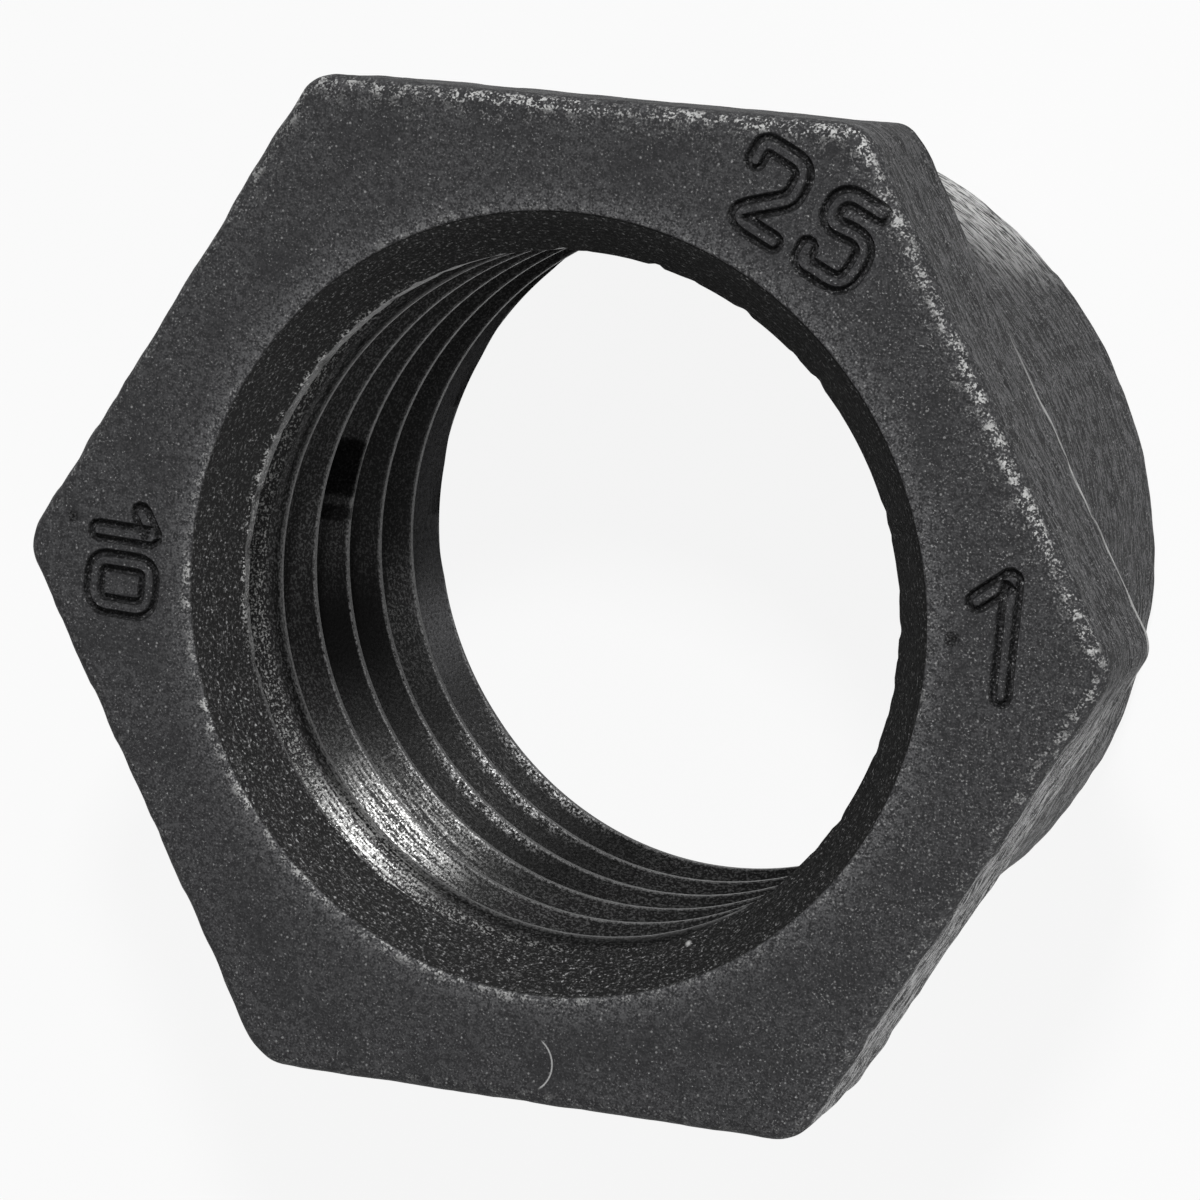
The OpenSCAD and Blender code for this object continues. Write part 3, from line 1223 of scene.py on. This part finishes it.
# %% The room
ROOM = 0.2
ROOM_ABOVE = 0.18
world = bpy.data.worlds.new("room")
bpy.context.scene.world = world
tree = new_tree(world)
sky = node("SeparateXYZ", [node("TexCoord", out="Generated")], out=2)
room = node("MapRange", {0: sky, 1: 0.0, 2: 0.6, 3: ROOM, 4: ROOM_ABOVE}, **STEP)
strength = node("Mix", {0: seen_plainly(), 2: room, 3: 1.0})
back = node("Background", {"Color": (1, 1, 1, 1), "Strength": strength})
tree.links.new(back, tree.nodes.new("ShaderNodeOutputWorld").inputs["Surface"])
print("strength of the room as a light:", ROOM)

# %% [markdown]
# One small lamp stands high on the far side and draws the shine in the thread, one wide lamp lights
# the flat that faces right and down, and one low lamp rakes the top of the barrel. An area lamp
# gives each of them a soft edge, which a point lamp would not.

# %% The lamps
def lamp(name, way, distance, width, power):
    """A square lamp at a distance from the part's middle, facing it."""
    light = bpy.data.lights.new(name, "AREA")
    light.shape = "SQUARE"
    light.size = width
    light.energy = power
    made = bpy.data.objects.new(name, light)
    middle = Vector((0, 0, length / 2))
    made.location = middle + Vector(way).normalized() * distance
    made.rotation_euler = (made.location - middle).to_track_quat("Z", "Y").to_euler()
    bpy.context.scene.collection.objects.link(made)
    return made


LAMPS = [
    ("shine_lamp", (0.215, 0.591, 0.777), 0.6, 0.07, 4.0),
    ("side_lamp", (0.75, -0.62, 0.24), 0.6, 0.30, 2.0),
    ("rake_lamp", (0.15, 0.93, 0.22), 0.5, 0.20, 0.8),
]
for settings in LAMPS:
    made = lamp(*settings)
    print(made.name, "at, m:", [round(v, 3) for v in made.location])

# %% [markdown]
# ## Camera
# The camera looks down on the part with a long lens, from the direction in which the hexagon and
# the wall of the bore show as they do in the photograph.

# %% The camera
PHOTO_LENS = 202.791
PHOTO_SENSOR = 36.0
CAMERA_AT = Vector((107.374, 47.656, 299.815)) * MM
CAMERA_TURN = 114.137
CAMERA_HEIGHT = 67.162
CAMERA_ROLL = -108.974

turn = radians(CAMERA_TURN)
rise = radians(CAMERA_HEIGHT)
level = Vector((cos(turn), sin(turn), 0))
back_way = Vector((sin(turn) * cos(rise), -cos(turn) * cos(rise), sin(rise)))
upright = back_way.cross(level)
roll = radians(CAMERA_ROLL)
right_way = level * cos(roll) + upright * sin(roll)
up_way = back_way.cross(right_way)
lens = bpy.data.cameras.new("camera")
lens.lens = PHOTO_LENS
lens.sensor_width = PHOTO_SENSOR
camera = bpy.data.objects.new("camera", lens)
axes = Matrix((right_way, up_way, back_way)).transposed()
camera.matrix_world = Matrix.Translation(CAMERA_AT) @ axes.to_4x4()
bpy.context.scene.collection.objects.link(camera)
bpy.context.scene.camera = camera
bpy.context.scene.view_settings.view_transform = "Standard"
print("camera to the part, mm:", round(CAMERA_AT.length / MM))
